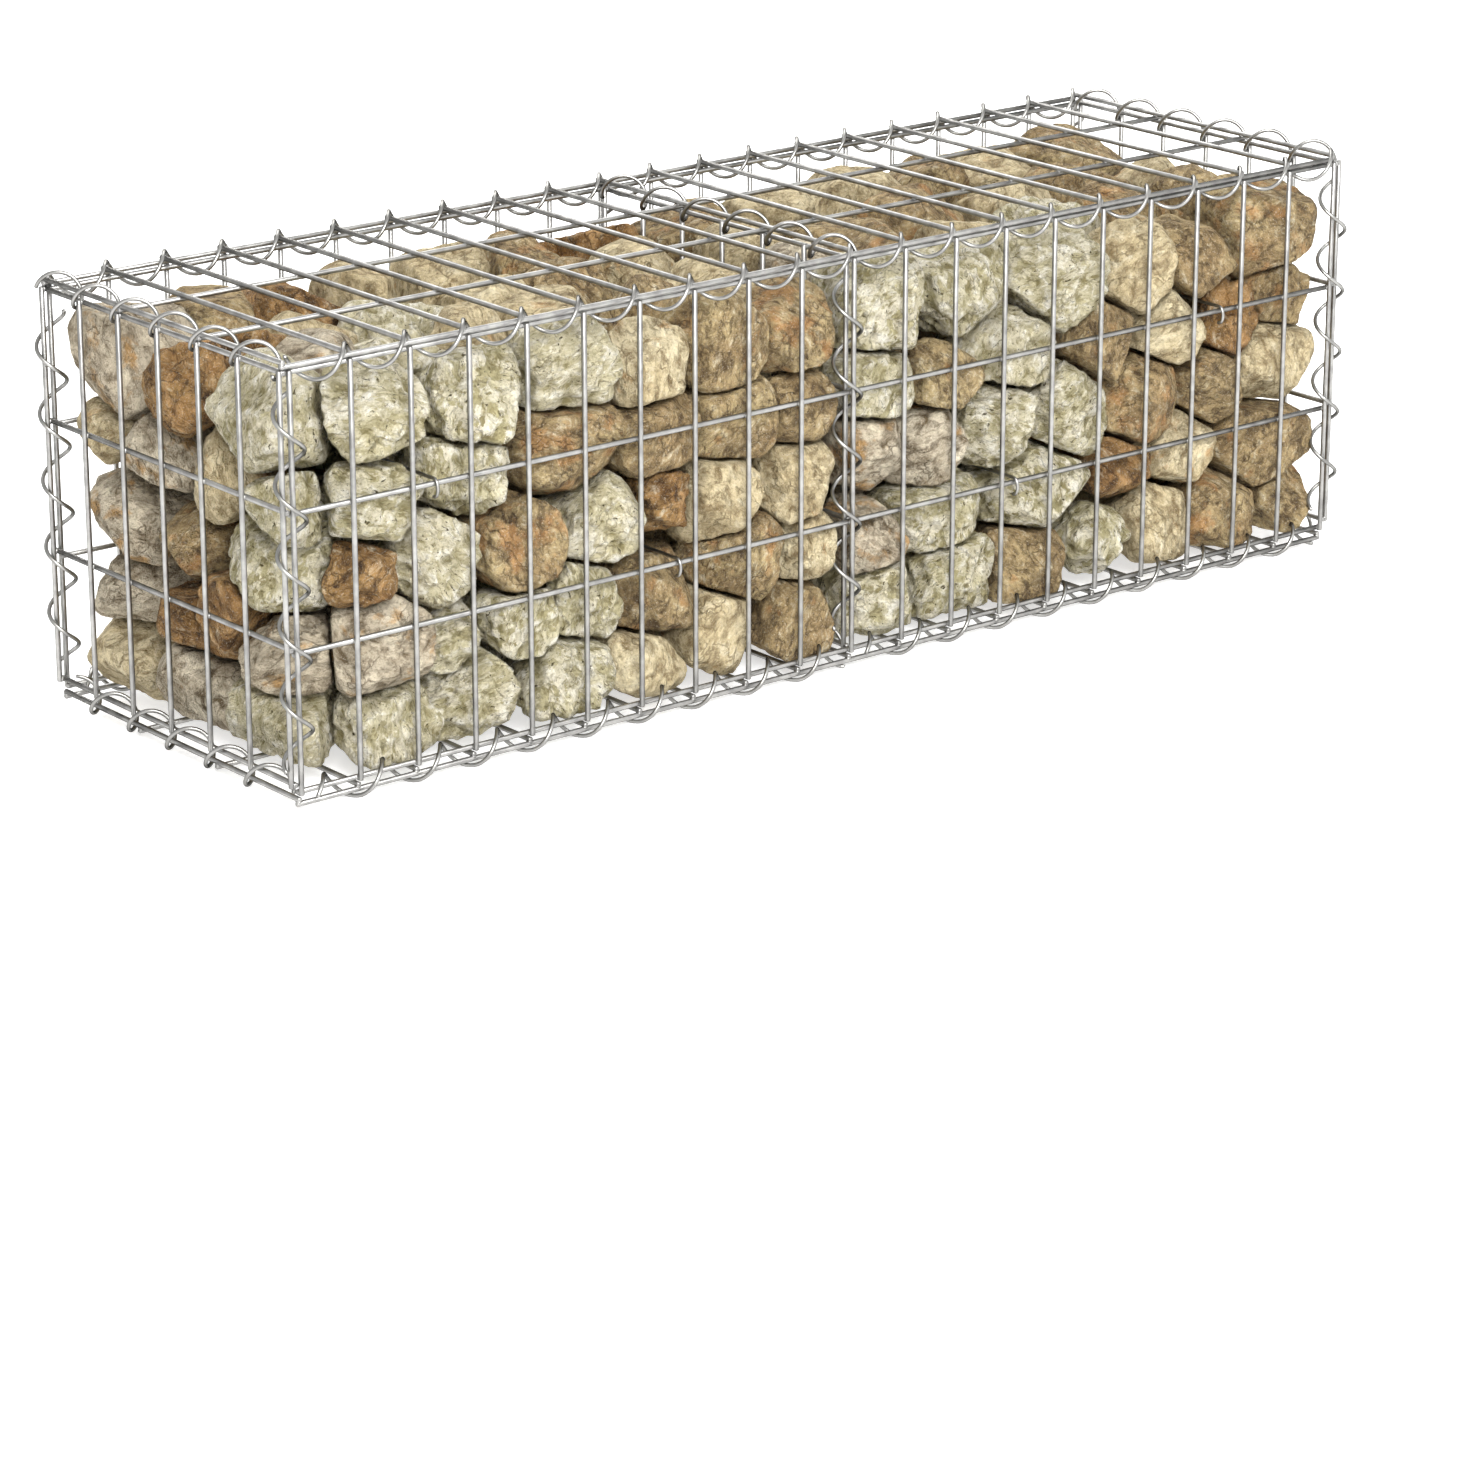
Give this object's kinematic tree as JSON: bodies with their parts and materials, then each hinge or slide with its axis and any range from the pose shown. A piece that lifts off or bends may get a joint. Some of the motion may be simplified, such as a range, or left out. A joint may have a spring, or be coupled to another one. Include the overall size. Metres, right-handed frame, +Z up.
{
  "type": "gabion wall unit",
  "caption": "Rectangular gabion: a welded wire mesh basket in two bays, laced along its edges with spiral wires, braced with cross ties and filled with rough stones.",
  "frame": {"origin": "under the middle of the basket, on the level that its bottom spirals rest on", "axes": "+X along the wall from left to right, the front face looks to -Y, +Z up"},
  "size_m": [1.0273, 0.3254, 0.3281],
  "materials": {
    "mesh_wire": "galvanised, dull satin",
    "spiral_wire": "galvanised, bright satin",
    "tie_wire": "galvanised, bright satin",
    "stone": "rough split stone, matt"
  },
  "bodies": {
    "root": {"base_panel": "mesh_wire", "lid_panel": "mesh_wire", "front_panel": "mesh_wire", "back_panel": "mesh_wire", "left_end_panel": "mesh_wire", "right_end_panel": "mesh_wire", "divider_panel": "mesh_wire", "spiral_front_top_left": "spiral_wire", "spiral_front_top_right": "spiral_wire", "spiral_front_bottom_left": "spiral_wire", "spiral_front_bottom_right": "spiral_wire", "spiral_back_top_left": "spiral_wire", "spiral_back_top_right": "spiral_wire", "spiral_back_bottom_left": "spiral_wire", "spiral_back_bottom_right": "spiral_wire", "spiral_left_end_top": "spiral_wire", "spiral_left_end_bottom": "spiral_wire", "spiral_left_end_front": "spiral_wire", "spiral_left_end_back": "spiral_wire", "spiral_divider_top": "spiral_wire", "spiral_divider_bottom": "spiral_wire", "spiral_divider_front": "spiral_wire", "spiral_divider_back": "spiral_wire", "spiral_right_end_top": "spiral_wire", "spiral_right_end_bottom": "spiral_wire", "spiral_right_end_front": "spiral_wire", "spiral_right_end_back": "spiral_wire", "tie_left_outer": "tie_wire", "tie_left_inner": "tie_wire", "tie_right_inner": "tie_wire", "tie_right_outer": "tie_wire", "stones_left_lower": "stone", "stones_left_middle": "stone", "stones_left_upper": "stone", "stones_right_lower": "stone", "stones_right_middle": "stone", "stones_right_upper": "stone"}
  },
  "joints": []
}
